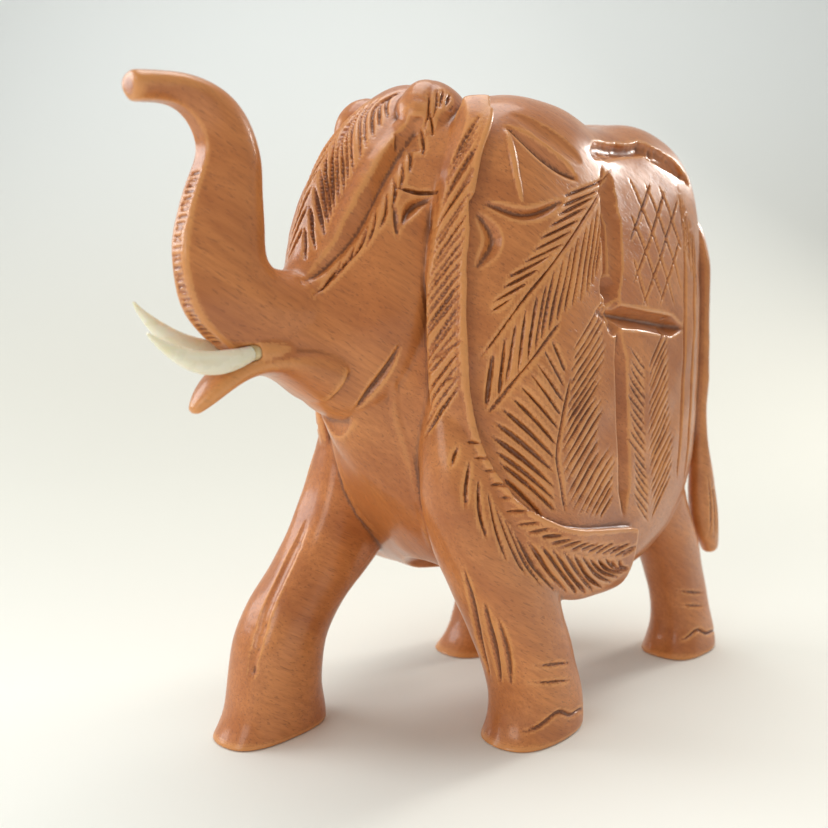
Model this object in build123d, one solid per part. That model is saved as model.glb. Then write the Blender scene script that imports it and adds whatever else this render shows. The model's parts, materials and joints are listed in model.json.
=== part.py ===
"""Carved wooden elephant with its trunk raised, a saddle cloth on its back and two pegged tusks.

The figure is one block of wood. Each tusk is a separate piece with a round peg, glued into a blind
socket drilled beside the root of the trunk. Millimetres. The head points to -X, the left flank faces
-Y, +Z is up, and the four soles stand on z = 0. The shapes are drawn from a point on the table under
the middle of the four feet. The finished figure is then moved along X, so that its origin is on the
table under the middle of its box.
"""

from build123d import *
from math import cos, pi, sin
import os

# ---- driving sizes -------------------------------------------------------------------------------
BACK_TOP = 124.0  # height of the saddle cloth along the spine
HALF_WIDTH = 27.0  # half the body's width over the saddle cloth
HEM = 24.0  # height of the lowest edge of the saddle cloth
BELLY = 32.6  # height of the belly between the legs
BELLY_WIDTH = 34.0
EAR_LIFT = 2.2  # how far an ear flap stands proud of the flank
FRONT_FEET_X = -29.5  # middle of the two front feet
REAR_FEET_X = 32.0  # middle of the two rear feet
STRIDE = 17.3  # each right foot is this far ahead of that middle, each left foot behind it
TRACK = 18.8  # distance of every foot from the mid-plane
PEG_RADIUS = 1.0  # round peg on a tusk's root
PEG_LENGTH = 6.0
GLUE_GAP = 0.3  # glue between peg and socket, and under the peg's end

SECTION_POINTS = 20  # points on a closed section curve


def powered(value, power):
    """Superellipse term: keeps the sign of value and raises its size to 2 / power."""
    return (1 if value >= 0 else -1) * abs(value) ** (2.0 / power)


def superellipse(plane, half_a, half_b, power=2.0, power_low=None):
    """Closed face on plane, half_a by half_b, rounder at low powers. power_low is for its lower half."""
    points = []
    for i in range(SECTION_POINTS):
        angle = 2 * pi * (i + 0.5) / SECTION_POINTS
        p = power_low if power_low and sin(angle) < 0 else power
        points.append(plane.from_local_coords((half_a * powered(cos(angle), p), half_b * powered(sin(angle), p))))
    return Face(Wire([Edge.make_spline(points, periodic=True)]))


def ring_across(x, half_width, low, high, power, power_low=None):
    """Body section at x, seen from the front."""
    plane = Plane(origin=(x, 0, (low + high) / 2), x_dir=(0, 1, 0), z_dir=(1, 0, 0))
    return superellipse(plane, half_width, (high - low) / 2, power, power_low)


def tube(stations, side=(0, 1, 0), power=2.2):
    """Solid along a bent centre line. A station is (x, y, z, half depth, half width across side)."""
    centres = [Vector(*s[:3]) for s in stations]
    sections = []
    for i, (*_, depth, width) in enumerate(stations):
        along = centres[min(i + 1, len(centres) - 1)] - centres[max(i - 1, 0)]
        plane = Plane(origin=centres[i], x_dir=along.cross(Vector(*side)), z_dir=along)
        sections.append(superellipse(plane, depth, width, power))
    return loft(sections)


# ---- trunk, head and body ------------------------------------------------------------------------
# x, half width, lowest z, highest z, power of the section's lower half: the chest is rounder than the cloth
TORSO = [
    (-45.5, 4.6, 58.5, 82, 2.2),
    (-41.0, 9.8, 51.5, 104, 2.4),
    (-35.0, 15.8, 43.5, 112.6, 2.8),
    (-25.5, 23.6, 33.5, 118.3, 4.4),
    (-10.0, HALF_WIDTH, 25.5, BACK_TOP - 1.7, 6.0),
    (6.0, HALF_WIDTH, HEM, BACK_TOP - 3.4, 6.0),
    (22.0, HALF_WIDTH, 25, BACK_TOP - 0.6, 6.0),
    (36.0, 26.0, 31, BACK_TOP, 6.0),
    (47.0, 23.2, 41, 119, 6.0),
    (53.5, 16.0, 53, 107.6, 6.0),
    (56.6, 6.0, 66, 94, 6.0),
]
HEAD = [
    (-18.0, 10.0, 70, 118.0),
    (-24.0, 13.6, 64, 122.0),
    (-29.0, 14.8, 61.5, 122.4),
    (-36.4, 14.2, 60, 118.6),
    (-42.0, 12.8, 60.5, 114.0),
    (-46.2, 11.0, 61.5, 109.2),
    (-49.6, 8.6, 63, 103.6),
    (-52.0, 7.4, 64.8, 97.2),
    (-53.8, 6.6, 66.6, 91.2),
    (-57.0, 5.8, 69.2, 86.6),
    (-61.0, 4.2, 72.0, 83.4),
]
DOME = (-28.6, 7.6, 113.2)  # middle of the left one of the two domes on top of the head
DOME_SIZE = (8.8, 6.0, 8.0)  # its half length, half width and half height
# Trunk centre line in the mid-plane, with the depth from front to back and the greatest width there.
TRUNK = [
    (-46.0, 77.6, 15.0, 10.0),
    (-54.0, 78.0, 15.8, 12.0),
    (-59.5, 78.8, 16.0, 12.2),
    (-64.0, 80.0, 15.6, 11.6),
    (-67.4, 82.8, 15.8, 10.8),
    (-69.0, 87.4, 15.0, 10.0),
    (-68.7, 92.4, 13.8, 9.4),
    (-68.0, 97.6, 11.8, 8.8),
    (-67.5, 102.4, 10.0, 8.2),
    (-68.5, 106.8, 8.8, 7.6),
    (-71.8, 110.0, 6.8, 7.0),
    (-75.8, 111.1, 5.0, 6.2),
    (-79.6, 110.8, 4.2, 5.6),
    (-83.4, 110.1, 3.8, 5.0),
]
TRUNK_FACE_SHARE = 0.42  # width of the trunk's flat front face as a share of its greatest width


def torso(lift=0.0):
    """Body and saddle cloth. lift grows it all round, and further over the shoulders, for the ears."""
    rings = []
    for x, half, low, high, power_low in TORSO:
        over_shoulder = 0.6 * min(max((-18.0 - x) / 10.0, 0.0), 1.0)
        rings.append(ring_across(x, half + lift * (1 + over_shoulder), low - lift, high + lift, 4.0, power_low))
    return loft(rings)


def under_belly():
    """Hollow between the hems of the cloth, so that the belly is higher than they are."""
    hollow = Ellipse(BELLY_WIDTH / 2, BELLY - 10.0)
    return extrude(Plane(origin=(-70, 0, 10), x_dir=(0, 1, 0), z_dir=(1, 0, 0)) * hollow, 140)


def head():
    """Head without the trunk: a narrow brow over wide cheeks."""
    return loft([ring_across(x, half, low, high, 1.8, 2.4) for x, half, low, high in HEAD])


def dome(side):
    """One of the two bumps on the crown, side by side behind the forehead."""
    x, y, z = DOME
    half_length, half_width, half_height = DOME_SIZE
    stations = []
    for share in (-0.97, -0.8, -0.45, 0.0, 0.45, 0.8, 0.97):
        girth = (1 - share * share) ** 0.5
        stations.append((x + share * half_length, side * y, z, half_height * girth, half_width * girth))
    return tube(stations, power=2.0)


def trunk_section(x, z, ahead, depth, width):
    """Section across the trunk: a flat front face with two sharp edges, and a round back."""
    plane = Plane(origin=(x, 0, z), x_dir=(0, -1, 0), z_dir=ahead)
    face_half = width * TRUNK_FACE_SHARE / 2
    front, wide, back = -depth / 2, depth * 0.16, depth / 2
    left, right = (plane.from_local_coords((s * face_half, front)) for s in (-1, 1))
    rest = [(face_half, front), (width * 0.44, -depth * 0.14), (width / 2, wide), (width * 0.3, depth * 0.43)]
    outline = rest + [(0, back)] + [(-a, b) for a, b in reversed(rest)]
    curve = Edge.make_spline([plane.from_local_coords(p) for p in outline])
    return Face(Wire([Edge.make_line(left, right), curve]))


def trunk():
    sections = []
    for i, (x, z, depth, width) in enumerate(TRUNK):
        before, after = TRUNK[max(i - 1, 0)], TRUNK[min(i + 1, len(TRUNK) - 1)]
        ahead = (after[0] - before[0], 0, after[1] - before[1])
        sections.append(trunk_section(x, z, ahead, depth, width))
    return loft(sections)


def lower_lip():
    """Pointed lip under the trunk, hooked down at its end."""
    stations = [
        (-50.0, 0, 69.0, 4.6, 8.0),
        (-57.0, 0, 71.4, 3.2, 6.4),
        (-63.0, 0, 71.4, 2.1, 5.0),
        (-68.4, 0, 69.4, 1.9, 3.9),
        (-72.4, 0, 66.2, 1.4, 2.6),
        (-74.4, 0, 64.2, 0.6, 1.0),
    ]
    return tube(stations)


# ---- legs ----------------------------------------------------------------------------------------
# height, forward shift of the section from the foot, half length, half width
FORWARD_FRONT_LEG = [
    (0, 0.4, 11.8, 7.6),
    (4.5, -0.6, 10.0, 7.6),
    (12, -1.0, 8.7, 7.8),
    (20, -3.4, 9.2, 7.9),
    (30, -11.6, 11.2, 8.0),
    (42, -19.4, 11.6, 7.8),
    (56, -18.4, 6.8, 6.0),
    (74, -15.0, 4.0, 3.0),
]
TRAILING_FRONT_LEG = [
    (0, 0.4, 11.8, 7.6),
    (4.5, -1.2, 10.2, 7.6),
    (13, 1.0, 9.2, 7.8),
    (24, 5.6, 10.1, 8.0),
    (40, 12.4, 11.6, 7.8),
    (54, 16.6, 9.4, 6.2),
    (66, 17.2, 7.4, 4.2),
    (80, 17.0, 3.6, 1.6),
]
REAR_LEG = [
    (0, 0.0, 10.6, 7.6),
    (4.5, -1.6, 9.2, 6.9),
    (13, -0.2, 7.7, 5.9),
    (22, 3.0, 7.9, 6.1),
    (34, 9.6, 9.4, 6.8),
    (48, 13.2, 11.0, 6.0),
    (60, 15.0, 9.0, 4.0),
]
FORWARD_REAR_SHIFT = -2.4  # a forward rear leg's sections shift this much more per section


def leg(foot_x, foot_y, sections):
    side = 1 if foot_y > 0 else -1
    faces = []
    for height, forward, length, width in sections:
        pull_in = 7.6 * (height / 80) ** 2  # a leg leans in towards the shoulder or hip
        plane = Plane(origin=(foot_x - forward, foot_y - side * pull_in, height))
        faces.append(superellipse(plane, length, width, 2.6))
    return loft(faces)


def legs():
    forward_rear = [
        (height, forward + FORWARD_REAR_SHIFT * i, length, width)
        for i, (height, forward, length, width) in enumerate(REAR_LEG)
    ]
    return [
        leg(FRONT_FEET_X + STRIDE, -TRACK, TRAILING_FRONT_LEG),
        leg(FRONT_FEET_X - STRIDE, TRACK, FORWARD_FRONT_LEG),
        leg(REAR_FEET_X + STRIDE, -TRACK, REAR_LEG),
        leg(REAR_FEET_X - STRIDE, TRACK, forward_rear),
    ]


# ---- ears, tail and hems -------------------------------------------------------------------------
# Side outline of an ear flap (x, z): its front edge from the top down, then its back edge upwards.
EAR_FRONT = [
    (-29.4, 117.6),
    (-34.0, 107),
    (-37.2, 95),
    (-38.6, 84),
    (-38.6, 72),
    (-36.4, 58),
    (-32.0, 45),
    (-24.4, 35),
    (-12.0, 26.5),
    (0.0, 23.8),
    (12.0, 23.4),
]
EAR_BACK = [
    (10.6, 37.4),
    (-4.0, 39.2),
    (-15.0, 41.4),
    (-24.0, 46),
    (-30.6, 55),
    (-33.2, 66),
    (-34.0, 82),
    (-33.0, 98),
    (-30.6, 108),
    (-25.6, 117.6),
]


def prism(outline, near, far):
    """Solid with a side outline of points and curves, from y = near to y = far."""
    face = Face(Wire(outline))
    return extrude(face.moved(Location((0, near, 0))), far - near, dir=(0, 1, 0))


def in_side_view(points):
    return [Vector(x, 0, z) for x, z in points]


def ear_flap():
    """Left ear: a long leaf that follows the flank and stands proud of it."""
    front = Edge.make_spline(in_side_view(EAR_FRONT))
    back = Edge.make_spline(in_side_view(EAR_BACK))
    ends = [Edge.make_line(front @ 1, back @ 0), Edge.make_line(back @ 1, front @ 0)]
    return prism([front, ends[0], back, ends[1]], -40, -14.5) & torso(EAR_LIFT)


def tail():
    """Tail from the middle of the rump, swung to the left, with a flat tuft that hangs free."""
    stations = [
        (45.0, -11.0, 107.0, 3.2, 3.4),
        (49.6, -17.0, 104.0, 2.8, 3.0),
        (51.0, -20.6, 97.0, 2.3, 2.5),
        (50.8, -21.8, 86.0, 2.1, 2.3),
        (50.6, -22.0, 66.0, 2.1, 2.2),
        (51.2, -22.0, 52.0, 2.3, 2.2),
        (53.0, -22.0, 43.0, 3.3, 2.8),
        (55.2, -22.0, 34.5, 4.2, 3.0),
        (58.0, -22.0, 27.0, 3.2, 2.6),
        (59.4, -22.0, 23.5, 2.0, 1.8),
    ]
    return tube(stations)


# ---- chip cuts -----------------------------------------------------------------------------------
def polyhedron(points, triangles):
    faces = [Face(Wire.make_polygon([Vector(*points[i]) for i in t], close=True)) for t in triangles]
    return Solid(Shell(faces))


def chip(start, end, outward, width, depth):
    """Gouge cut between two points on the surface: a V trough with pointed ends."""
    start, end = Vector(*start), Vector(*end)
    along = (end - start).normalized()
    outward = Vector(*outward)
    outward = (outward - along * outward.dot(along)).normalized()
    across = along.cross(outward) * (width / 2)
    deep = outward * -depth
    run = (end - start).length
    taper = min(0.3 * run, 1.6 * width)
    near, far = start + along * taper, end - along * taper
    lid = outward * (0.6 * width)
    corners = [start, near + across, far + across, end, far - across, near - across]
    ridge = [near + deep, far + deep]
    roof = [near + lid, far + lid]
    points = [tuple(p) for p in corners + ridge + roof]
    trough = [(0, 1, 6), (1, 2, 7, 6), (2, 3, 7), (3, 4, 7), (4, 5, 6, 7), (5, 0, 6)]
    top = [(1, 0, 8), (2, 1, 8, 9), (3, 2, 9), (4, 3, 9), (5, 4, 9, 8), (0, 5, 8)]
    return polyhedron(points, trough + top)


# start, end, outward direction, width and depth of each cut on the left side
CLOTH_CHIPS = [
    ((-0.4, -25.6, 111.5), (-0.2, -27.0, 77.5), (0, -1, 0.05), 4.6, 2.6),  # front border of the lattice panel
    ((-6.5, -26.9, 80.8), (33.0, -26.7, 78.2), (0, -1, 0), 4.4, 2.6),  # lower border of the lattice panel
    ((3.2, -27.0, 79.0), (8.0, -27.0, 38.0), (0, -1, 0), 4.6, 2.4),  # channel below it, beside the chevrons
    ((-4.0, -24.4, 110.0), (18.0, -23.6, 115.6), (0, -1, 0.8), 4.0, 2.2),  # upper border, front half
    ((14.0, -23.6, 115.6), (40.0, -22.6, 111.5), (0, -1, 0.8), 4.0, 2.2),  # upper border, rear half
]
EYE_CHIPS = [
    ((-43.6, -11.4, 100.2), (-35.6, -14.8, 99.8), (-0.4, -1, 0), 2.4, 1.6),  # slit of the eye
    ((-43.2, -12.0, 98.4), (-42.6, -13.0, 92.4), (-0.4, -1, 0), 3.4, 1.5),  # tear-shaped cut below the eye
]


def chipped(solid, chips):
    """The solid with the same cuts made in both of its sides."""
    for details in chips:
        cut = chip(*details)
        solid = solid - cut - mirror(cut, about=Plane.XZ)
    return solid


# ---- tusks ---------------------------------------------------------------------------------------
# The left and the right tusk are set at different angles, as a hand-made pair is.
# socket mouth, degrees outwards, degrees upwards
LEFT_TUSK = ((-66.0, -3.1, 73.0), -5.0, -3.0)
RIGHT_TUSK = ((-64.6, 3.1, 73.4), 3.0, 11.0)


def seated(shape, mouth, outwards, upwards):
    """Moves a shape made along -X, with its mouth plane at the origin, to a tusk's place on the head."""
    turn = Location((0, 0, 0), (0, upwards, 0))
    return shape.moved(Location(mouth) * Location((0, 0, 0), (0, 0, -outwards)) * turn)


def tusk():
    """Crescent tusk with a round peg on its root."""
    stations = [
        (0.0, 0, 0.0, 1.2, 1.2),
        (-2.6, 0, -0.6, 1.55, 1.35),
        (-6.0, 0, -1.0, 1.8, 1.45),
        (-9.6, 0, -0.7, 1.7, 1.3),
        (-13.2, 0, 0.6, 1.25, 1.0),
        (-16.0, 0, 2.2, 0.7, 0.6),
        (-18.0, 0, 3.8, 0.2, 0.2),
    ]
    crescent = tube(stations) - peg_bore(3 * PEG_RADIUS, PEG_LENGTH)
    return crescent + peg_bore(PEG_RADIUS, PEG_LENGTH)


def peg_bore(radius, depth):
    return extrude(Plane.YZ * Circle(radius), depth)


def socket():
    """Blind hole for a peg and its glue, open towards the tusk."""
    radius = PEG_RADIUS + GLUE_GAP
    return peg_bore(radius, PEG_LENGTH + GLUE_GAP) + peg_bore(radius, -6.0)


def gum():
    """Wood round a socket, blended into the root of the trunk."""
    return tube([(x, 0, 0, radius, radius) for x, radius in ((0.8, 1.7), (3.0, 2.3), (6.0, 2.6), (10.0, 2.6))])


def glue_bed():
    """Cured glue: a sleeve round the peg and a cap under its end."""
    return peg_bore(PEG_RADIUS + GLUE_GAP, PEG_LENGTH + GLUE_GAP) - peg_bore(PEG_RADIUS, PEG_LENGTH)


def carved_body():
    ear = ear_flap()
    body = chipped(torso() - under_belly(), CLOTH_CHIPS) + ear + mirror(ear, about=Plane.XZ)
    domes = [dome(-1), dome(1)]
    gums = [seated(gum(), *LEFT_TUSK), seated(gum(), *RIGHT_TUSK)]
    for addition in [chipped(head(), EYE_CHIPS), *domes, trunk(), lower_lip(), *gums, tail(), *legs()]:
        body = body + addition
    return body


def main():
    os.makedirs("parts", exist_ok=True)
    body = carved_body()
    pieces = {}
    for name, place in (("left", LEFT_TUSK), ("right", RIGHT_TUSK)):
        body = body - seated(socket(), *place)
        pieces[f"{name}_tusk_glue"] = seated(glue_bed(), *place)
        pieces[f"{name}_tusk"] = seated(tusk(), *place) - body
    pieces["carved_body"] = body
    ends = [piece.bounding_box() for piece in pieces.values()]
    middle = (min(end.min.X for end in ends) + max(end.max.X for end in ends)) / 2
    for name, piece in pieces.items():
        export_step(piece.moved(Location((-middle, 0, 0))), f"parts/{name}.step")
        print(name, piece.is_valid, len(piece.solids()), round(piece.volume, 1))
    print("the middle of the feet is at x =", round(-middle, 3))


if __name__ == "__main__":
    main()
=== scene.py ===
"""Looks of the carved wooden elephant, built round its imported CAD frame.

The wooden body is turned into a grid of distances to its surface and carved there the way the wood
is: broad scoops first, then every knife stroke as a groove of its own. The grid then becomes one mesh.
The two tusks and their glue keep their CAD shape and get materials.

Lengths in the carving are millimetres from a point on the table under the middle of the four feet.
The head points to -X, the left flank faces -Y and +Z is up. The scene itself is in metres.
"""

import json
import math

import bpy
import numpy as np
import openvdb
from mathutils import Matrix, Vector
from mathutils.bvhtree import BVHTree


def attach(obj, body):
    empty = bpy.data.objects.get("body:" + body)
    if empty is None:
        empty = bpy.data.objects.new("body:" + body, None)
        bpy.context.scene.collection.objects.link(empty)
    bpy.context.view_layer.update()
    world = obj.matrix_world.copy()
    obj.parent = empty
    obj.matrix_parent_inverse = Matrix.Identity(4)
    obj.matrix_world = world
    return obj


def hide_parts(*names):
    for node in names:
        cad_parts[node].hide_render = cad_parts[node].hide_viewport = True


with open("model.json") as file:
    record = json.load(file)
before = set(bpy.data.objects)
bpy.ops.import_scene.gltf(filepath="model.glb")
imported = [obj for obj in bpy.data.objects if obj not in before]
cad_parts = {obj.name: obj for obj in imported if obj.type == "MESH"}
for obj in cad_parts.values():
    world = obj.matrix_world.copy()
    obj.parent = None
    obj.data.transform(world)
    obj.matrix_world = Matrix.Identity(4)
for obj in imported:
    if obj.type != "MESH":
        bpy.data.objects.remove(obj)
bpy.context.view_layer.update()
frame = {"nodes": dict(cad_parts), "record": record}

MM = 0.001
SOLES_BEHIND = 1.05  # the soles' middle is this far behind the point the carving is measured from, mm
SOLES = [np.array(mount["pos_m"]) for mount in frame["record"]["mounts"]]
FEET = np.mean(SOLES, axis=0) - np.array([SOLES_BEHIND * MM, 0, 0])

VOXEL = 0.28  # grid spacing of the wood, mm
BAND = 9  # cells on each side of the surface that hold distances
SANDED = 0.26  # how far sanding has rounded the corners between the parts, mm
SHAPED = 0.15  # how far the edges of the broad cuts are rounded, mm
SOFTENED = 0.1  # how far wax and handling have rounded the strokes, mm
EDGE_STEP = 1.6  # a stroke stops where the surface steps by more than this, mm
TOOL_STEP = 1.1  # distance between two places of the tool along a stroke, mm
HOLLOW = 0.45  # size of the hollows and ridges that the colour picks out: hollows get painted shade, ridges are lighter with wear, mm
WAVE_COUNT, WAVE_HEIGHT = 14, 0.035  # slow waves over the sanded surface, height in mm
WAVE_LENGTHS = (7, 17)  # mm
SOLE_RIM = 1.0  # the waves stop below this height, so that the soles stay flat, mm
LEFT, RIGHT = -1, 1  # side of the body, as the sign of y
PRESSURE = (0.8, 1.15)  # least and most depth of a stroke, as a share of the depth that was meant
hand = np.random.default_rng(7)  # unevenness of the carver's hand


# ---- the block of wood ---------------------------------------------------------------------------
def blurred(values, radius):
    """values smoothed over radius, in cells, along all three axes."""
    reach = max(1, math.ceil(2.2 * radius))
    weights = np.exp(-0.5 * (np.arange(-reach, reach + 1) / radius) ** 2)
    weights /= weights.sum()
    for axis in range(3):
        total = values * weights[reach]
        for step in range(1, reach + 1):
            ahead = [slice(None)] * 3
            behind = [slice(None)] * 3
            ahead[axis], behind[axis] = slice(step, None), slice(None, -step)
            total[tuple(behind)] += weights[reach + step] * values[tuple(ahead)]
            total[tuple(ahead)] += weights[reach - step] * values[tuple(behind)]
        values = total
    return values


def smooth_curve(points, count):
    """count points along a smooth line through the given points."""
    points = np.array(points, float)
    if len(points) == 2:
        share = np.linspace(0, 1, count)[:, None]
        return points[0] + share * (points[1] - points[0])
    run = np.r_[0, np.cumsum(np.linalg.norm(np.diff(points, axis=0), axis=1))]
    slopes = np.gradient(points, run, axis=0)
    at = np.linspace(0, run[-1], count)
    k = np.clip(np.searchsorted(run, at, side="right") - 1, 0, len(run) - 2)
    gap = (run[k + 1] - run[k])[:, None]
    u = ((at - run[k])[:, None]) / gap
    start, end = points[k], points[k + 1]
    return (
        start * (2 * u**3 - 3 * u**2 + 1)
        + end * (3 * u**2 - 2 * u**3)
        + slopes[k] * gap * (u**3 - 2 * u**2 + u)
        + slopes[k + 1] * gap * (u**3 - u**2)
    )


class Wood:
    """Grid of distances to the wood's surface, negative inside it, with the tools that change it."""

    def __init__(self, node):
        mesh = frame["nodes"][node].data
        mesh.calc_loop_triangles()
        corners = np.empty(len(mesh.vertices) * 3, np.float32)
        mesh.vertices.foreach_get("co", corners)
        triangles = np.empty(len(mesh.loop_triangles) * 3, np.int32)
        mesh.loop_triangles.foreach_get("vertices", triangles)
        corners = ((corners.reshape(-1, 3) - FEET) / MM).astype(np.float32)
        triangles = triangles.reshape(-1, 3).astype(np.uint32)
        self.transform = openvdb.createLinearTransform(voxelSize=VOXEL)
        grid = openvdb.FloatGrid.createLevelSetFromPolygons(
            corners, triangles=triangles, transform=self.transform, halfWidth=BAND
        )
        low, high = (np.array(corner) for corner in grid.evalActiveVoxelBoundingBox())
        self.low = low - 4
        self.cells = np.empty(tuple(high + 5 - self.low), np.float32)
        grid.copyToArray(self.cells, ijk=tuple(int(i) for i in self.low))
        self.remember_surface()

    def polygons(self, adaptivity):
        grid = openvdb.FloatGrid(BAND * VOXEL)
        grid.copyFromArray(self.cells, ijk=tuple(int(i) for i in self.low))
        grid.transform = self.transform
        return grid.convertToPolygons(isovalue=0.0, adaptivity=adaptivity)

    def remember_surface(self):
        """Keeps the present surface, on which the next tools are set."""
        corners, triangles, quads = self.polygons(adaptivity=0.02)
        faces = [tuple(t) for t in triangles.tolist()] + [tuple(q) for q in quads.tolist()]
        self.surface = BVHTree.FromPolygons(corners.tolist(), faces)

    def from_side(self, x, z, side):
        """Point on the flank at x, z, with the surface's outward direction."""
        place, outward, *_ = self.surface.ray_cast(Vector((x, side * 60, z)), Vector((0, -side, 0)))
        if place is None:
            return None
        return np.array(place), np.array(outward) * (1 if outward.y * side > 0 else -1)

    def nearest(self, point, side):
        """Point of the surface nearest to a place given for the left side."""
        wanted = Vector((point[0], -side * point[1], point[2]))
        place, outward, *_ = self.surface.find_nearest(wanted)
        return np.array(place), np.array(outward)

    def on_flank(self, points, side, count):
        """Surface along a smooth line through (x, z) points on one flank."""
        return [self.from_side(x, z, side) for x, z in smooth_curve(points, count)]

    def on_skin(self, points, side, count):
        """Surface along a smooth line through (x, y, z) points, given for the left side."""
        return [self.nearest(p, side) for p in smooth_curve(points, count)]

    def change(self, low, high, distance, adding):
        """Cuts or adds the shape with this distance function in the box from low to high."""
        first = np.maximum(np.floor(low / VOXEL).astype(int) - self.low, 0)
        last = np.minimum(np.ceil(high / VOXEL).astype(int) + 1 - self.low, self.cells.shape)
        if (last <= first).any():
            return
        axes = [(np.arange(first[i], last[i]) + self.low[i]) * VOXEL for i in range(3)]
        shape = distance(axes[0][:, None, None], axes[1][None, :, None], axes[2][None, None, :])
        part = self.cells[tuple(slice(a, b) for a, b in zip(first, last))]
        if adding:
            np.minimum(part, shape, out=part)
        else:
            np.maximum(part, -shape, out=part)

    def sweep(self, centres, radii, adding=False):
        """Moves a ball along the centres, cutting wood or adding it."""
        for a, b, ra, rb in zip(centres[:-1], centres[1:], radii[:-1], radii[1:]):
            along = b - a
            length2 = max(float(along @ along), 1e-9)

            def capsule(x, y, z, a=a, along=along, length2=length2, ra=ra, rb=rb):
                u = ((x - a[0]) * along[0] + (y - a[1]) * along[1] + (z - a[2]) * along[2]) / length2
                u = np.clip(u, 0, 1)
                gap2 = (
                    (x - a[0] - u * along[0]) ** 2
                    + (y - a[1] - u * along[1]) ** 2
                    + (z - a[2] - u * along[2]) ** 2
                )
                return np.sqrt(gap2) - (ra + u * (rb - ra))

            reach = max(ra, rb) + 2 * VOXEL
            self.change(np.minimum(a, b) - reach, np.maximum(a, b) + reach, capsule, adding)

    def groove(self, anchors, radius, depth, blunt=2.0):
        """Cut with a round gouge of this radius. It enters and leaves the wood gently: low blunt
        gives long thin ends, and high blunt a cut of even depth."""
        anchors = unbroken(anchors)
        if len(anchors) < 3:
            return
        share = np.linspace(-1, 1, len(anchors))
        depths = depth * (1 - np.abs(share) ** blunt)
        centres = np.array([p + n * (radius - d) for (p, n), d in zip(anchors, depths)])
        self.sweep(centres, np.full(len(centres), radius))

    def score(self, anchors, half_width, depth, blunt=2.0):
        """Cut with a V-gouge this deep and half wide. Where it is shallower it is also narrower."""
        anchors = unbroken(anchors)
        if len(anchors) < 3:
            return
        share = np.linspace(-1, 1, len(anchors))
        depths = depth * (1 - np.abs(share) ** blunt) + 0.05
        slope = half_width / depth
        lean = 1 / math.hypot(1, slope)
        for (a, out_a), (b, out_b), da, db in zip(anchors[:-1], anchors[1:], depths[:-1], depths[1:]):
            along = b - a
            length2 = max(float(along @ along), 1e-9)
            out = out_a + out_b
            out = out - along * (out @ along) / length2
            out /= np.linalg.norm(out)

            def wedge(x, y, z, a=a, along=along, length2=length2, out=out, da=da, db=db):
                x, y, z = x - a[0], y - a[1], z - a[2]
                u = np.clip((x * along[0] + y * along[1] + z * along[2]) / length2, 0, 1)
                x, y, z = x - u * along[0], y - u * along[1], z - u * along[2]
                height = x * out[0] + y * out[1] + z * out[2]
                aside = np.sqrt(np.maximum(x * x + y * y + z * z - height * height, 0))
                return (aside - (height + da + u * (db - da)) * slope) * lean

            reach = max(half_width, depth) + 2 * VOXEL
            self.change(np.minimum(a, b) - reach, np.maximum(a, b) + reach, wedge, adding=False)

    def bead(self, anchors, radius, proud):
        """Rounded ridge that stands proud of the surface."""
        anchors = unbroken(anchors)
        share = np.abs(np.linspace(-1, 1, len(anchors)))
        lift = proud * (1 - share**6)
        centres = np.array([p + n * (up - radius) for (p, n), up in zip(anchors, lift)])
        self.sweep(centres, np.full(len(centres), radius), adding=True)

    def flank_stroke(self, points, side, half_width, depth, blunt=2.0, shake=0.16):
        """V-gouge stroke along (x, z) points on one flank."""
        wobble = hand.normal(0, shake, (len(points), 2))
        line = self.on_flank(np.array(points, float) + wobble, side, samples(points))
        self.score(line, half_width, depth * hand.uniform(*PRESSURE), blunt)

    def skin_stroke(self, points, side, half_width, depth, blunt=2.0, shake=0.12):
        """V-gouge stroke along (x, y, z) points near the surface, given for the left side."""
        wobble = hand.normal(0, shake, (len(points), 3))
        line = self.on_skin(np.array(points, float) + wobble, side, samples(points))
        self.score(line, half_width, depth * hand.uniform(*PRESSURE), blunt)


def unbroken(anchors):
    """The longest run of anchors without a step of the surface between them."""
    runs = [[]]
    for anchor in anchors:
        if anchor is None or (runs[-1] and abs(anchor[0][1] - runs[-1][-1][0][1]) > EDGE_STEP):
            runs.append([])
        if anchor is not None:
            runs[-1].append(anchor)
    return max(runs, key=len)


def samples(points):
    """How many places along a line carry the tool."""
    points = np.array(points, float)
    length = np.linalg.norm(np.diff(points, axis=0), axis=1).sum()
    return max(4, int(length / TOOL_STEP) + 1)


def even_shares(count):
    """count shares from 0 to 1, evenly apart."""
    return [row / (count - 1) for row in range(count)]


def along(points, share):
    """Point at a share of the way along a smooth line."""
    line = smooth_curve(points, 60)
    place = share * (len(line) - 1)
    k = min(int(place), len(line) - 2)
    return line[k] + (place - k) * (line[k + 1] - line[k])


# ---- lines of the design -------------------------------------------------------------------------
# On the head, as x, y, z on the left side.
COMB_TOPS = [
    (-32.9, -3.6, 119.8),
    (-35.1, -2.7, 118.9),
    (-36.5, -1.1, 118.3),
    (-38.1, 0, 117.2),
    (-41.4, 0, 114.4),
    (-45.8, 0, 109.4),
    (-49.4, 0, 103.6),
    (-52.2, 0, 96.6),
    (-54.0, 0, 89.6),
]
BAND_EDGE = [
    (-36.5, -7.4, 116.6),
    (-40.6, -6.1, 111.2),
    (-45.6, -6.4, 104.5),
    (-48.5, -5.9, 99.6),
    (-51.1, -5.2, 94.5),
    (-52.8, -4.5, 90.3),
    (-54.7, -2.9, 87.6),
]
BAND_RIDGE = [
    (-31.0, -8.0, 120.0),
    (-36.2, -8.4, 113.5),
    (-42.0, -8.4, 106.5),
    (-47.2, -7.6, 99.0),
    (-51.0, -6.2, 92.0),
]
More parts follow.
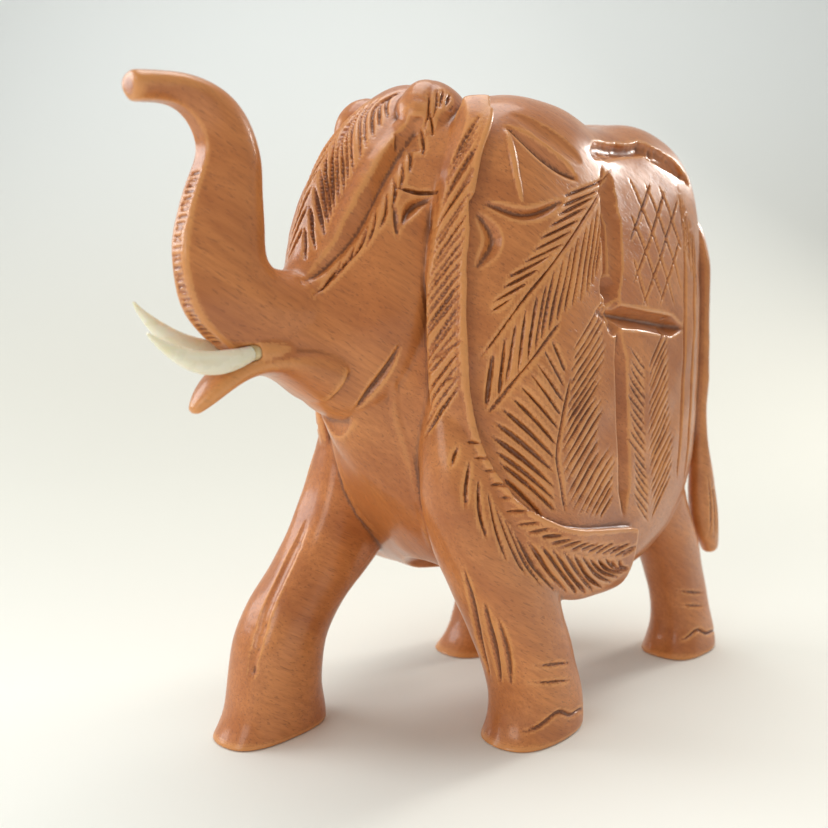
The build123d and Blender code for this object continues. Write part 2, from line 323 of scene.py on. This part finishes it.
VALLEY = [
    (-35.9, -10.8, 111.9),
    (-37.9, -9.4, 108.6),
    (-41.4, -9.5, 104.2),
    (-45.6, -9.3, 97.9),
    (-49.1, -7.9, 91.8),
    (-52.8, -5.7, 87.3),
    (-56.4, -4.2, 84.4),
]
CROWN_TICK_TOPS = [(-33.4, -10.4, 117.6), (-30.2, -11.7, 118.8), (-27.2, -14.6, 117.6)]
CROWN_TICK_FEET = [(-35.0, -11.2, 111.0), (-32.1, -12.9, 115.1), (-30.6, -16.2, 113.8)]
VALLEY_TICK_TOPS = [
    (-34.9, -11.7, 114.8),
    (-37.0, -9.6, 110.5),
    (-39.6, -9.5, 106.5),
    (-43.3, -9.8, 100.9),
    (-46.2, -9.0, 96.5),
    (-49.0, -8.0, 92.2),
    (-51.0, -7.0, 89.5),
]
VALLEY_TICK_FEET = [
    (-35.2, -11.4, 109.8),
    (-40.5, -10.8, 103.0),
    (-44.6, -10.4, 96.3),
    (-47.2, -9.4, 92.2),
    (-50.0, -8.0, 88.6),
    (-53.6, -6.4, 85.0),
    (-57.3, -5.8, 82.3),
]
EAR_RIM = [
    (-28.6, -19.3, 114.6),
    (-31.8, -20.7, 106.8),
    (-33.2, -20.8, 100.1),
    (-34.2, -20.4, 90.0),
    (-34.7, -20.0, 80.2),
    (-34.4, -19.9, 67.7),
    (-33.0, -19.9, 58.0),
]
EAR_INNER = [
    (-32.2, -16.6, 112.4),
    (-34.4, -17.1, 107.0),
    (-36.2, -17.2, 100.1),
    (-37.8, -16.4, 90.0),
    (-38.6, -15.2, 80.2),
    (-38.4, -14.4, 67.6),
    (-37.4, -14.4, 57.0),
]
CHEST_RIDGE = [
    (-41.8, -10.5, 69.3),
    (-40.4, -9.1, 62.2),
    (-38.4, -9.6, 56.1),
    (-33.9, -9.5, 44.7),
    (-28.5, -6.8, 36.0),
]
# On the flank, as x, z.
EAR_BACK = [
    (-27.0, 115),
    (-30.6, 108),
    (-33.0, 98),
    (-34.0, 82),
    (-33.2, 66),
    (-30.6, 55),
    (-24.0, 46),
    (-15.0, 41.4),
    (-4.0, 39.2),
    (9.0, 37.6),
]
EAR_SPINE = [
    (-35.3, 57.6),
    (-33.8, 53.7),
    (-31.8, 49.4),
    (-29.5, 45.4),
    (-26.2, 41.8),
    (-20.2, 38.6),
    (-6.5, 34.3),
    (4.0, 31.9),
]
EAR_TIP_EDGE = [(-37.0, 54.4), (-35.2, 46.2), (-29.3, 39), (-14.2, 29.7), (-1, 26.5), (9.5, 29)]
FEATHER_LINE = [(3.0, 108.4), (-5, 100.8), (-13, 93.7), (-19.8, 87), (-24.3, 81.9), (-31.0, 71.6)]
FEATHER_ROOTS = [(1.2, 106.4), (-5, 101.8), (-12.4, 95.4), (-20.2, 88.4), (-25.9, 82.6)]
FEATHER_TIPS = [(-15.4, 100.4), (-20.1, 94.6), (-24.6, 88.8), (-28.4, 83.2), (-30.4, 79.4)]
COMB_FEET = [
    (-5.6, 86.0),
    (-8.5, 82.8),
    (-12.7, 80.6),
    (-15.9, 78.6),
    (-20.3, 74.4),
    (-24.6, 69.4),
    (-29.6, 62.6),
]
LEAF_SPINE = [(-14.0, 78.4), (-13.0, 69), (-14.6, 63.4), (-16.2, 53.8), (-14.9, 48.7), (-13.1, 43.6)]
LEAF_LEFT_TIPS = [
    (-18.4, 75.4),
    (-21.5, 71.6),
    (-23.8, 68.4),
    (-26.1, 65.4),
    (-28.6, 62.4),
    (-28.9, 57.4),
    (-27.0, 51.6),
]
LEAF_LEFT_FEET = [
    (-14.6, 69.2),
    (-15.3, 62),
    (-16.1, 56.9),
    (-17.0, 51.5),
    (-16.2, 46.7),
    (-15.8, 43.6),
    (-18.0, 42.4),
]
LEAF_RIGHT_FEET = [
    (-12.9, 73.0),
    (-13.9, 63.6),
    (-15.4, 54.0),
    (-13.9, 48.6),
    (-12.2, 44.0),
    (-7.0, 42.0),
    (-1.6, 41.2),
]
CHEVRON_SPINE = [(14.2, 69.0), (15.0, 58.0), (18.9, 37.2)]


# ---- broad shaping -------------------------------------------------------------------------------
def shape_head(wood, side):
    """Smooth band beside the brow, the valley behind it, and the cut under the eye."""
    wood.bead(wood.on_skin(BAND_RIDGE, side, 34), 3.4, 0.6)
    wood.score(wood.on_skin(VALLEY, side, 34), 2.1, 1.7, blunt=4.0)
    under_eye = [(-42.0, -12.0, 94.0), (-39.6, -12.6, 97.4), (-36.2, -13.8, 99.4)]
    wood.score(wood.on_skin(under_eye, side, 12), 1.2, 1.5, blunt=1.6)


def shape_chest(wood, side):
    """Ridge down the side of the breast, and the step under the cheek."""
    wood.bead(wood.on_skin(CHEST_RIDGE, side, 40), 2.0, 0.3)
    under_cheek = [(-41.6, -12.0, 75.0), (-43.4, -11.0, 70.6), (-45.4, -8.7, 66.6), (-46.4, -4.6, 63.0)]
    wood.score(wood.on_skin(under_cheek, side, 18), 0.9, 1.2, blunt=2.0)


def shape_ear(wood, side):
    """Rolled back edge of the ear."""
    inward = [(x - 1.0, z - 0.3) for x, z in smooth_curve(EAR_BACK, 70)]
    wood.bead([wood.from_side(x, z, side) for x, z in inward], 0.8, 0.28)


def shape_shoulder_cloth(wood, side):
    """Leaf cut, ridge and chip cuts between the ear and the feather band."""
    leaf = [(-24.4, 112.2), (-19.0, 108.4), (-10.0, 104.2)]
    wood.score(wood.on_flank(leaf, side, 26), 1.9, 2.4, blunt=2.6)
    above = [(-21.6, 114.6), (-15.6, 111.4), (-8.4, 107.8)]
    wood.groove(wood.on_flank(above, side, 20), 4.0, 0.6, blunt=2.4)
    ridge = [(-24.6, 111.6), (-24.8, 105.0), (-24.2, 98.6)]
    wood.bead(wood.on_flank(ridge, side, 20), 0.7, 0.55)
    corner = [(-30.6, 98.6), (-24.4, 96.8), (-14.0, 100.2)]
    wood.score(wood.on_flank(corner, side, 20), 1.2, 1.3, blunt=2.4)
    pit = [(-31.2, 97.0), (-28.9, 92.4), (-31.4, 87.0)]
    wood.score(wood.on_flank(pit, side, 14), 1.7, 1.4, blunt=2.0)


def shape_panel(wood, side):
    """Hollow in front of the crossed lines, the groove above them, and a lip at their lower corner."""
    border = [(1.6, 107.0), (2.2, 96.0), (1.8, 82.0)]
    wood.groove(wood.on_flank(border, side, 24), 3.4, 1.3, blunt=6.0)
    over = [
        (-4, -24.4, 110.4),
        (7, -24.2, 113.8),
        (18, -23.6, 115.6),
        (29, -23.4, 114.6),
        (40, -22.6, 111.5),
    ]
    wood.groove(wood.on_skin(over, side, 44), 1.5, 1.7, blunt=5.0)
    lip = [(-1.4, 84.0), (-0.6, 81.2), (1.6, 79.4)]
    wood.bead(wood.on_flank(lip, side, 8), 0.8, 0.5)


# ---- fine strokes --------------------------------------------------------------------------------
def carve_forehead(wood, side):
    """Combed grooves from the brow down to the smooth band beside the valley."""
    knots = (0, 0.36, 0.56, 0.80, 1)
    for place in even_shares(15):
        top = along(COMB_TOPS, np.interp(place, knots, (0.0, 0.18, 0.32, 0.62, 0.88)))
        foot = along(BAND_EDGE, np.interp(place, knots, (0.12, 0.52, 0.67, 0.80, 1.0)))
        bow = np.array([-1.0, 1.3 * (1 - place), 1.2])
        early = top + 0.35 * (foot - top) + bow
        late = top + 0.7 * (foot - top) + 0.7 * bow
        wood.skin_stroke([top, early, late, foot], side, 0.36, 0.8, blunt=3.4)


def carve_valley(wood, side):
    """Ticks that comb out of the valley towards the cheek, and short ones on the crown."""
    for share in even_shares(10):
        top = along(VALLEY_TICK_TOPS, share)
        foot = along(VALLEY_TICK_FEET, share) + np.array([1.0, -0.6, -0.4])
        bulge = np.array([0.5, -0.4, -0.4])
        wood.skin_stroke([top, 0.5 * (top + foot) + bulge, foot], side, 0.42, 0.95, blunt=2.2)
    for share in (0, 0.2, 0.4, 0.6, 0.8):
        ends = [along(CROWN_TICK_TOPS, share), along(CROWN_TICK_FEET, share)]
        wood.skin_stroke(ends, side, 0.4, 0.85, blunt=2.0)


def carve_eye(wood, side):
    """Slit of the eye and the line of the tear."""
    slit = [(-42.0, -10.9, 100.9), (-38.8, -12.6, 100.3), (-35.4, -15.2, 100.2)]
    wood.skin_stroke(slit, side, 0.4, 1.0, blunt=3, shake=0)
    tear = [(-42.6, -10.9, 99.3), (-42.5, -11.4, 95.1), (-42.8, -12.2, 91.4)]
    wood.skin_stroke(tear, side, 0.4, 0.6, shake=0)


def carve_ear(wood, side):
    """Slanted strokes down the upper ear, two cross lines, and the herringbone of its tip."""
    for row, share in enumerate(even_shares(25)):
        back = along(EAR_RIM, 0.02 + 0.80 * share) + np.array([-0.8, 0, 0])
        front = along(EAR_INNER, min(0.15 + 0.80 * share, 1.0) - hand.uniform(0, 0.03))
        front = back + 1.2 * (front - back)
        wood.skin_stroke([back, front], side, 0.36, 0.55 if row % 3 else 0.75, blunt=3, shake=0.16)
    for z_back, z_front in ((75.4, 70.8), (69.4, 66.2)):
        wood.flank_stroke([(-34.8, z_back), (-39.2, z_front)], side, 0.4, 0.6, blunt=4)
    carve_ear_tip(wood, side)


def carve_ear_tip(wood, side):
    """Herringbone down the ear, from small ticks to long cuts at its tip."""
    for share in even_shares(18):
        root = along(EAR_SPINE, share)
        outer = root + 1.12 * (along(EAR_TIP_EDGE, 1 - (1 - share) ** 1.9) - root)
        middle = 0.5 * (root + outer) + np.array([-0.5, -0.7])
        wood.flank_stroke([root, middle, outer], side, 0.42, 0.8 + 0.35 * share, blunt=3.6)
    for share in even_shares(19):
        root = along(EAR_SPINE, share) + np.array([0.8, 0.5])
        run = np.array([3.0 + 5.8 * share, -0.5 + 1.6 * share])
        wood.flank_stroke([root, root + run], side, 0.36, 0.65, blunt=2.8)


def carve_feathers(wood, side):
    """Diagonal line high on the cloth, with long strokes in front of it and a comb below it."""
    wood.flank_stroke(FEATHER_LINE, side, 0.36, 1.0, blunt=10, shake=0.1)
    for share in even_shares(11):
        root = along(FEATHER_ROOTS, share)
        tip = along(FEATHER_TIPS, share)
        reach = hand.uniform(0.85, 1.05)
        wood.flank_stroke([root, root + reach * (tip - root)], side, 0.38, 0.95, blunt=4.0)
    for share in even_shares(15):
        top = along(FEATHER_LINE, 0.08 + 0.86 * share) + np.array([0.5, -1.0])
        foot = along(COMB_FEET, share) + np.array([0.1, 0.7])
        wood.flank_stroke([top, foot], side, 0.40, 0.85, blunt=5.0)


def carve_leaf(wood, side):
    """Leaf below the feathers: grooves that meet at its spine."""
    wood.flank_stroke(COMB_FEET[3:], side, 0.42, 0.85, blunt=10, shake=0.1)
    wood.flank_stroke(LEAF_SPINE[1:], side, 0.42, 0.8, blunt=8, shake=0.1)
    for share in even_shares(12):
        ends = [along(LEAF_LEFT_TIPS, share), along(LEAF_LEFT_FEET, share)]
        wood.flank_stroke(ends, side, 0.42, 0.9, blunt=4.5)
    channel = 3.0  # x where the strokes end
    for share in even_shares(21):
        foot = along(LEAF_RIGHT_FEET, share)
        tip = foot + np.array([12.4, 11.4]) * hand.uniform(0.85, 1.05)
        if tip[0] > channel:
            tip = foot + (tip - foot) * (channel - foot[0]) / (tip[0] - foot[0])
        wood.flank_stroke([foot, tip], side, 0.34, 0.7, blunt=3.4)


def carve_lattice(wood, side):
    """Crossed lines in the panel high on the flank, and fine folds behind them."""
    low, high = np.array([8.4, 82.6]), np.array([31.0, 108.0])
    for start_x in np.arange(-9.0, 30.0, 6.2):
        clipped_line(wood, side, (start_x, 108.0), (20.0, -29.0), low, high)
    for start_z in np.arange(68.0, 110.0, 8.8):
        clipped_line(wood, side, (8.0, start_z), (16.0, 21.0), low, high)
    for step in range(9):
        x = 31.0 + 1.0 * step
        wood.flank_stroke([(x, 109.5 - step), (x + 1.6, 95.0 - 1.5 * step)], side, 0.3, 0.4, blunt=3)


def clipped_line(wood, side, start, direction, low, high):
    """Groove along the part of a line that lies inside a box."""
    start, direction = np.array(start, float), np.array(direction, float)
    shares = np.linspace(-2.0, 2.0, 500)
    line = start + shares[:, None] * direction
    inside = line[((line >= low) & (line <= high)).all(axis=1)]
    if len(inside) > 30:
        wood.flank_stroke([inside[0], inside[-1]], side, 0.40, 0.85, blunt=6, shake=0.25)


def carve_chevrons(wood, side):
    """Arrow pattern down the rear panel."""
    for share in even_shares(18):
        point = along(CHEVRON_SPINE, share)
        near = np.array([-7.6, 5.6]) * hand.uniform(0.85, 1.05)
        far = np.array([10.6, 11.0]) * hand.uniform(0.85, 1.0)
        wood.flank_stroke([point + near, point + np.array([-0.3, 0.1])], side, 0.36, 0.65, blunt=3.4)
        wood.flank_stroke([point + np.array([0.4, 0.3]), point + far], side, 0.36, 0.65, blunt=3.0)


def carve_rear(wood, side):
    """Folds of the cloth's rear border."""
    for x in (32.4, 38.4):
        wood.flank_stroke([(x, 100), (x + 0.6, 80), (x - 0.6, 44)], side, 0.9, 0.8, blunt=6)


def carve_trunk(wood):
    """Small notches across the flat front of the trunk."""
    front = [(-74.0, 100.0), (-76.6, 92.0), (-77.4, 84.6), (-75.0, 77.6), (-70.4, 74.4)]
    for place in smooth_curve(front, 30):
        line = [(place[0], y, place[1]) for y in (-1.7, 0.0, 1.7)]
        wood.skin_stroke(line, LEFT, 0.4, 0.35, blunt=6)


def carve_legs(wood):
    """Long strokes down the left front leg, a facet with scallops down the right one, and the feet."""
    down_the_leg = [
        [(-34.4, -19.8, 37.0), (-30.7, -18.9, 29.7), (-25.7, -16.8, 20.6), (-21.0, -15.4, 11.5)],
        [(-30.7, -21.3, 30.1), (-26.4, -19.9, 21.5), (-22.0, -18.4, 11.0)],
        [(-28.4, -22.6, 26.6), (-25.1, -22.0, 19.8), (-21.9, -20.5, 11.5)],
    ]
    for line in down_the_leg:
        wood.skin_stroke(line, LEFT, 0.75, 0.8, blunt=3)
    facet = [
        (-39.8, 16.2, 40.2),
        (-44.0, 16.0, 33.1),
        (-48.9, 15.4, 26.4),
        (-52.4, 15.1, 19.6),
        (-54.0, 15.5, 12.3),
    ]
    wood.groove(wood.on_skin(facet, LEFT, 40), 2.2, 0.45, blunt=4.0)
    for row in range(7):
        place = along(facet, 0.1 + 0.13 * row)
        wood.skin_stroke([place, place + np.array([-1.2, -0.8, -3.2])], LEFT, 0.8, 0.45)
    for foot_x, side in ((-12.2, LEFT), (49.3, LEFT), (-46.8, RIGHT), (14.7, RIGHT)):
        carve_foot(wood, foot_x, side)


def carve_foot(wood, middle, side):
    """Two dashes over the foot and the wavy line of its toes."""
    for height in (11.8, 15.2):
        dash = [(middle - 9.0, height + 1.6), (middle - 3.0, height + 0.4), (middle + 2.0, height - 0.6)]
        wood.flank_stroke(dash, side, 0.36, 0.5)
    toes = [(-10.0, 2.8), (-6.4, 4.4), (-2.0, 6.0), (1.6, 4.6), (5.0, 4.2), (9.0, 2.8)]
    wood.flank_stroke([(middle + behind, up) for behind, up in toes], side, 0.45, 0.7, blunt=5)


def carve_tail(wood):
    """Hairs of the tail's tuft."""
    for row in range(4):
        x = 51.6 + 1.3 * row
        wood.flank_stroke([(x, 44.0 - 1.5 * row), (x + 2.0, 35.0), (x + 3.4, 26.0)], LEFT, 0.36, 0.5)


def carve(wood):
    """Sands the block, shapes it with broad cuts, and sets the fine strokes on the shaped surface."""
    wood.cells = blurred(wood.cells, SANDED / VOXEL)
    for side in (LEFT, RIGHT):
        shape_head(wood, side)
        shape_chest(wood, side)
        shape_ear(wood, side)
        shape_shoulder_cloth(wood, side)
        shape_panel(wood, side)
    wood.cells = blurred(wood.cells, SHAPED / VOXEL)
    wood.remember_surface()
    for side in (LEFT, RIGHT):
        carve_forehead(wood, side)
        carve_valley(wood, side)
        carve_eye(wood, side)
        carve_ear(wood, side)
        carve_feathers(wood, side)
        carve_leaf(wood, side)
        carve_lattice(wood, side)
        carve_chevrons(wood, side)
        carve_rear(wood, side)
    carve_trunk(wood)
    carve_legs(wood)
    carve_tail(wood)
    wood.cells = blurred(wood.cells, SOFTENED / VOXEL)


def hand_waves(points):
    """Slow unevenness that the knife leaves in a surface sanded by hand, in mm."""
    waves = np.random.default_rng(3)
    total = np.zeros(len(points))
    for _ in range(WAVE_COUNT):
        direction = waves.normal(size=3)
        direction /= np.linalg.norm(direction)
        turns = points @ direction * 2 * math.pi / waves.uniform(*WAVE_LENGTHS)
        total += np.sin(turns + waves.uniform(0, 6.3))
    return WAVE_HEIGHT * total


def build_body():
    """Carved wood as one mesh, with the depth of every hollow kept as the attribute cavity."""
    wood = Wood("carved_body")
    carve(wood)
    corners, triangles, quads = wood.polygons(adaptivity=0.0)
    around = blurred(wood.cells, HOLLOW / VOXEL)
    cell = np.clip(np.rint(corners / VOXEL).astype(int) - wood.low, 0, np.array(around.shape) - 1)
    cavity = -around[tuple(cell.T)] + wood.cells[tuple(cell.T)]
    mesh = bpy.data.meshes.new("elephant_carving")
    faces = triangles.tolist() + quads.tolist()
    mesh.from_pydata(corners.tolist(), [], faces)
    normals = np.empty(len(corners) * 3)
    mesh.vertex_normals.foreach_get("vector", normals)
    waved = corners + hand_waves(corners)[:, None] * normals.reshape(-1, 3)
    waved[:, 2] = np.where(corners[:, 2] < SOLE_RIM, corners[:, 2], waved[:, 2])
    mesh.vertices.foreach_set("co", (waved * MM + FEET).ravel())
    depth = mesh.attributes.new("cavity", "FLOAT", "POINT")
    depth.data.foreach_set("value", cavity.astype(np.float32))
    mesh.update()
    mesh.shade_smooth()
    piece = bpy.data.objects.new("elephant_carving", mesh)
    bpy.context.scene.collection.objects.link(piece)
    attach(piece, "root")
    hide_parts("carved_body")
    return piece


# ---- materials -----------------------------------------------------------------------------------
class Look:
    """A node material that is built up step by step."""

    def __init__(self, name):
        self.material = bpy.data.materials.new(name)
        self.material.use_nodes = True
        self.tree = self.material.node_tree
        self.shader = self.tree.nodes["Principled BSDF"]

    def add(self, kind, **settings):
        node = self.tree.nodes.new("ShaderNode" + kind)
        for key, value in settings.items():
            setattr(node, key, value)
        return node

    def join(self, output, target):
        self.tree.links.new(output, target)

    def stretched(self, scale, turn=(0, 0, 0)):
        """Object coordinates, turned and then scaled along each axis, in 1 / m."""
        place = self.add("TexCoord")
        turned = self.add("Mapping")
        turned.inputs["Rotation"].default_value = turn
        scaled = self.add("Mapping")
        scaled.inputs["Scale"].default_value = scale
        self.join(place.outputs["Object"], turned.inputs["Vector"])
        self.join(turned.outputs["Vector"], scaled.inputs["Vector"])
        return scaled.outputs["Vector"]

    def noise(self, vector, scale, detail=3.0, roughness=0.5):
        node = self.add("TexNoise")
        node.inputs["Scale"].default_value = scale
        node.inputs["Detail"].default_value = detail
        node.inputs["Roughness"].default_value = roughness
        self.join(vector, node.inputs["Vector"])
        return node.outputs["Fac"]

    def stepped(self, value, low, high, to_low=0.0, to_high=1.0):
        """The value moved from the range low to high into another range."""
        node = self.add("MapRange", interpolation_type="SMOOTHSTEP")
        self.join(value, node.inputs["Value"])
        ends = {"From Min": low, "From Max": high, "To Min": to_low, "To Max": to_high}
        for socket, number in ends.items():
            node.inputs[socket].default_value = number
        return node.outputs["Result"]

    def mixed(self, share, first, second, blend="MIX"):
        """Two colours mixed by a share."""
        node = self.add("Mix", data_type="RGBA", blend_type=blend)
        for socket, source in ((node.inputs[0], share), (node.inputs[6], first), (node.inputs[7], second)):
            if isinstance(source, bpy.types.NodeSocket):
                self.join(source, socket)
            else:
                socket.default_value = source
        return node.outputs[2]

    def bump(self, height, distance, strength=1.0, over=None):
        node = self.add("Bump")
        node.inputs["Distance"].default_value = distance
        node.inputs["Strength"].default_value = strength
        self.join(height, node.inputs["Height"])
        if over:
            self.join(over, node.inputs["Normal"])
        return node.outputs["Normal"]


def wood_material():
    """Waxed red-brown wood: bands and fibres along the grain, short pores, painted shade in the grooves,
    worn ridges.
    """
    look = Look("waxed_wood")
    grain_turn = (math.radians(8), math.radians(-32), math.radians(10))
    straight = look.stretched((1, 1, 1))
    bands = look.noise(look.stretched((14, 120, 120), grain_turn), 1.0, detail=4.0, roughness=0.6)
    fibres = look.noise(look.stretched((110, 1500, 1500), grain_turn), 1.0, detail=4.0, roughness=0.65)
    pores = look.noise(look.stretched((520, 3600, 3600), grain_turn), 1.0, detail=1.0)
    patches = look.noise(straight, 38.0, detail=3.0)
    colour = look.mixed(look.stepped(bands, 0.32, 0.68), (0.46, 0.148, 0.040, 1), (0.64, 0.238, 0.070, 1))
    colour = look.mixed(look.stepped(patches, 0.42, 0.75, 0.0, 0.45), colour, (0.54, 0.162, 0.035, 1))
    colour = look.mixed(look.stepped(fibres, 0.35, 0.70, 0.0, 0.38), colour, (0.32, 0.092, 0.026, 1))
    pore_mask = look.stepped(pores, 0.60, 0.72, 0.0, 0.42)
    colour = look.mixed(pore_mask, colour, (0.20, 0.062, 0.022, 1))
    cavity = look.add("Attribute", attribute_name="cavity").outputs["Fac"]
    worn = look.stepped(cavity, -0.015, -0.085, 0.0, 0.55)
    colour = look.mixed(worn, colour, (0.80, 0.36, 0.115, 1))
    # painted shade: the deeper a hollow, the darker its colour, standing in for the shade that falls into
    # the grooves
    painted_groove_shade = look.stepped(cavity, 0.025, 0.15, 0.0, 0.78)
    colour = look.mixed(painted_groove_shade, colour, (0.12, 0.032, 0.009, 1))
    look.join(colour, look.shader.inputs["Base Color"])
    look.join(look.stepped(patches, 0.3, 0.7, 0.28, 0.40), look.shader.inputs["Roughness"])
    look.shader.inputs["Specular IOR Level"].default_value = 0.38
    look.shader.inputs["Coat Weight"].default_value = 0.32
    look.shader.inputs["Coat Roughness"].default_value = 0.13
    fine = look.bump(fibres, 0.00012, 0.35)
    look.join(look.bump(pore_mask, -0.00012, 0.5, over=fine), look.shader.inputs["Normal"])
    return look.material


def tusk_material():
    """Polished cream tusk: faint growth lines along it and a warm, slightly clear body."""
    look = Look("polished_tusk")
    lines = look.noise(look.stretched((60, 900, 900)), 1.0, detail=3.0)
    clouds = look.noise(look.stretched((1, 1, 1)), 260.0, detail=3.0)
    colour = look.mixed(look.stepped(lines, 0.35, 0.7), (0.87, 0.82, 0.66, 1), (0.84, 0.76, 0.55, 1))
    colour = look.mixed(look.stepped(clouds, 0.45, 0.75, 0.0, 0.5), colour, (0.90, 0.87, 0.74, 1))
    look.join(colour, look.shader.inputs["Base Color"])
    look.join(look.stepped(clouds, 0.3, 0.7, 0.18, 0.34), look.shader.inputs["Roughness"])
    look.shader.inputs["Subsurface Weight"].default_value = 0.25
    look.shader.inputs["Subsurface Radius"].default_value = (0.002, 0.0014, 0.0007)
    look.shader.inputs["Subsurface Scale"].default_value = 1.0
    look.join(look.bump(lines, 0.00006, 0.4), look.shader.inputs["Normal"])
    return look.material


def glue_material():
    """Cured amber glue with small clouds."""
    look = Look("cured_glue")
    clouds = look.noise(look.stretched((1, 1, 1)), 700.0, detail=3.0)
    colour = look.mixed(look.stepped(clouds, 0.35, 0.7), (0.62, 0.46, 0.22, 1), (0.72, 0.60, 0.36, 1))
    look.join(colour, look.shader.inputs["Base Color"])
    look.join(look.stepped(clouds, 0.3, 0.7, 0.25, 0.45), look.shader.inputs["Roughness"])
    look.join(look.bump(clouds, 0.00005, 0.4), look.shader.inputs["Normal"])
    return look.material


def paper_material():
    """Pale seamless paper with painted light: warm and bright at the front of the view, darker between,
    cool and bright at its top, set by height in the camera's view.
    """
    look = Look("paper")
    place = look.add("TexCoord")
    parts = look.add("SeparateXYZ")
    look.join(place.outputs["Window"], parts.inputs["Vector"])
    # painted light and shade: the paper's colour follows its height in the camera's view, bright at the
    # front, darker in the middle, cool and bright at the top
    low = look.stepped(parts.outputs["Y"], 0.05, 0.42)
    high = look.stepped(parts.outputs["Y"], 0.50, 1.0)
    colour = look.mixed(low, (0.86, 0.87, 0.82, 1), (0.70, 0.69, 0.63, 1))
    colour = look.mixed(high, colour, (0.87, 0.90, 0.90, 1))
    fibres = look.noise(look.stretched((1, 1, 1)), 900.0, detail=4.0)
    look.join(colour, look.shader.inputs["Base Color"])
    look.shader.inputs["Roughness"].default_value = 0.75
    look.join(look.bump(fibres, 0.00004, 0.25), look.shader.inputs["Normal"])
    return look.material


# ---- stage ---------------------------------------------------------------------------------------
VIEW_TURN = math.radians(-46.49)  # direction of the camera
LOOK_DOWN = math.radians(4.4)
SENSOR = 36  # mm
LENS = 36.09  # mm
CAMERA_PLACE = Vector((-0.14193, -0.11003, 0.07353)) + Vector(FEET)


def add_paper():
    """Sheet of paper that lies under the figure and curves up behind it."""
    ahead = Vector((-math.sin(VIEW_TURN), math.cos(VIEW_TURN), 0))
    across = Vector((math.cos(VIEW_TURN), math.sin(VIEW_TURN), 0))
    profile = [(-1.6, 0.0), (0.0, 0.0), (0.30, 0.0)]
    for step in range(1, 25):
        turn = math.radians(90 * step / 24)
        profile.append((0.30 + 0.55 * math.sin(turn), 0.55 * (1 - math.cos(turn))))
    profile.append((0.85, 2.0))
    corners = [ahead * run + across * s + Vector((0, 0, up)) for run, up in profile for s in (-2.0, 2.0)]
    faces = [(2 * i, 2 * i + 1, 2 * i + 3, 2 * i + 2) for i in range(len(profile) - 1)]
    mesh = bpy.data.meshes.new("paper")
    mesh.from_pydata([tuple(c) for c in corners], [], faces)
    mesh.shade_smooth()
    sheet = bpy.data.objects.new("paper", mesh)
    bpy.context.scene.collection.objects.link(sheet)
    mesh.materials.append(paper_material())


def add_light(name, place, size, power, colour):
    """Soft square light that faces the figure."""
    data = bpy.data.lights.new(name, "AREA")
    data.size = size
    data.energy = power
    data.color = colour
    lamp = bpy.data.objects.new(name, data)
    lamp.location = place
    towards = Vector((0, 0, 0.06)) - Vector(place)
    lamp.rotation_euler = towards.to_track_quat("-Z", "Y").to_euler()
    bpy.context.scene.collection.objects.link(lamp)


def add_room_light():
    """Even light from all around."""
    world = bpy.data.worlds.new("world")
    world.use_nodes = True
    world.node_tree.nodes["Background"].inputs["Color"].default_value = (0.96, 0.97, 0.94, 1)
    world.node_tree.nodes["Background"].inputs["Strength"].default_value = 0.46
    bpy.context.scene.world = world
    bpy.context.scene.view_settings.view_transform = "Standard"


def add_camera():
    """Camera close to the figure, with the soft background of a small opening."""
    data = bpy.data.cameras.new("camera")
    data.sensor_width = SENSOR
    data.lens = LENS
    data.dof.use_dof = True
    data.dof.focus_distance = 0.150
    data.dof.aperture_fstop = 24
    camera = bpy.data.objects.new("camera", data)
    camera.location = CAMERA_PLACE
    camera.rotation_euler = (math.radians(90) - LOOK_DOWN, 0, VIEW_TURN)
    bpy.context.scene.collection.objects.link(camera)
    bpy.context.scene.camera = camera


def dress(node, material):
    """Gives a CAD node that is kept its own look."""
    data = frame["nodes"][node].data
    data.materials.clear()
    data.materials.append(material)
    data.shade_smooth()


build_body().data.materials.append(wood_material())
tusk_look, glue_look = tusk_material(), glue_material()
for side_name in ("left", "right"):
    dress(f"{side_name}_tusk", tusk_look)
    dress(f"{side_name}_tusk_glue", glue_look)
add_paper()
add_light("sky_window", (-0.42, 0.66, 0.42), 0.45, 3.0, (0.95, 0.98, 1.0))
add_light("left_window", (-0.66, -0.06, 0.26), 0.30, 0.9, (1.0, 0.98, 0.94))
add_light("far_window", (0.65, -0.14, 0.38), 0.13, 1.6, (1.0, 0.97, 0.92))
add_light("ceiling", (0.10, 0.05, 0.90), 0.60, 4.2, (1.0, 0.98, 0.95))
add_room_light()
add_camera()
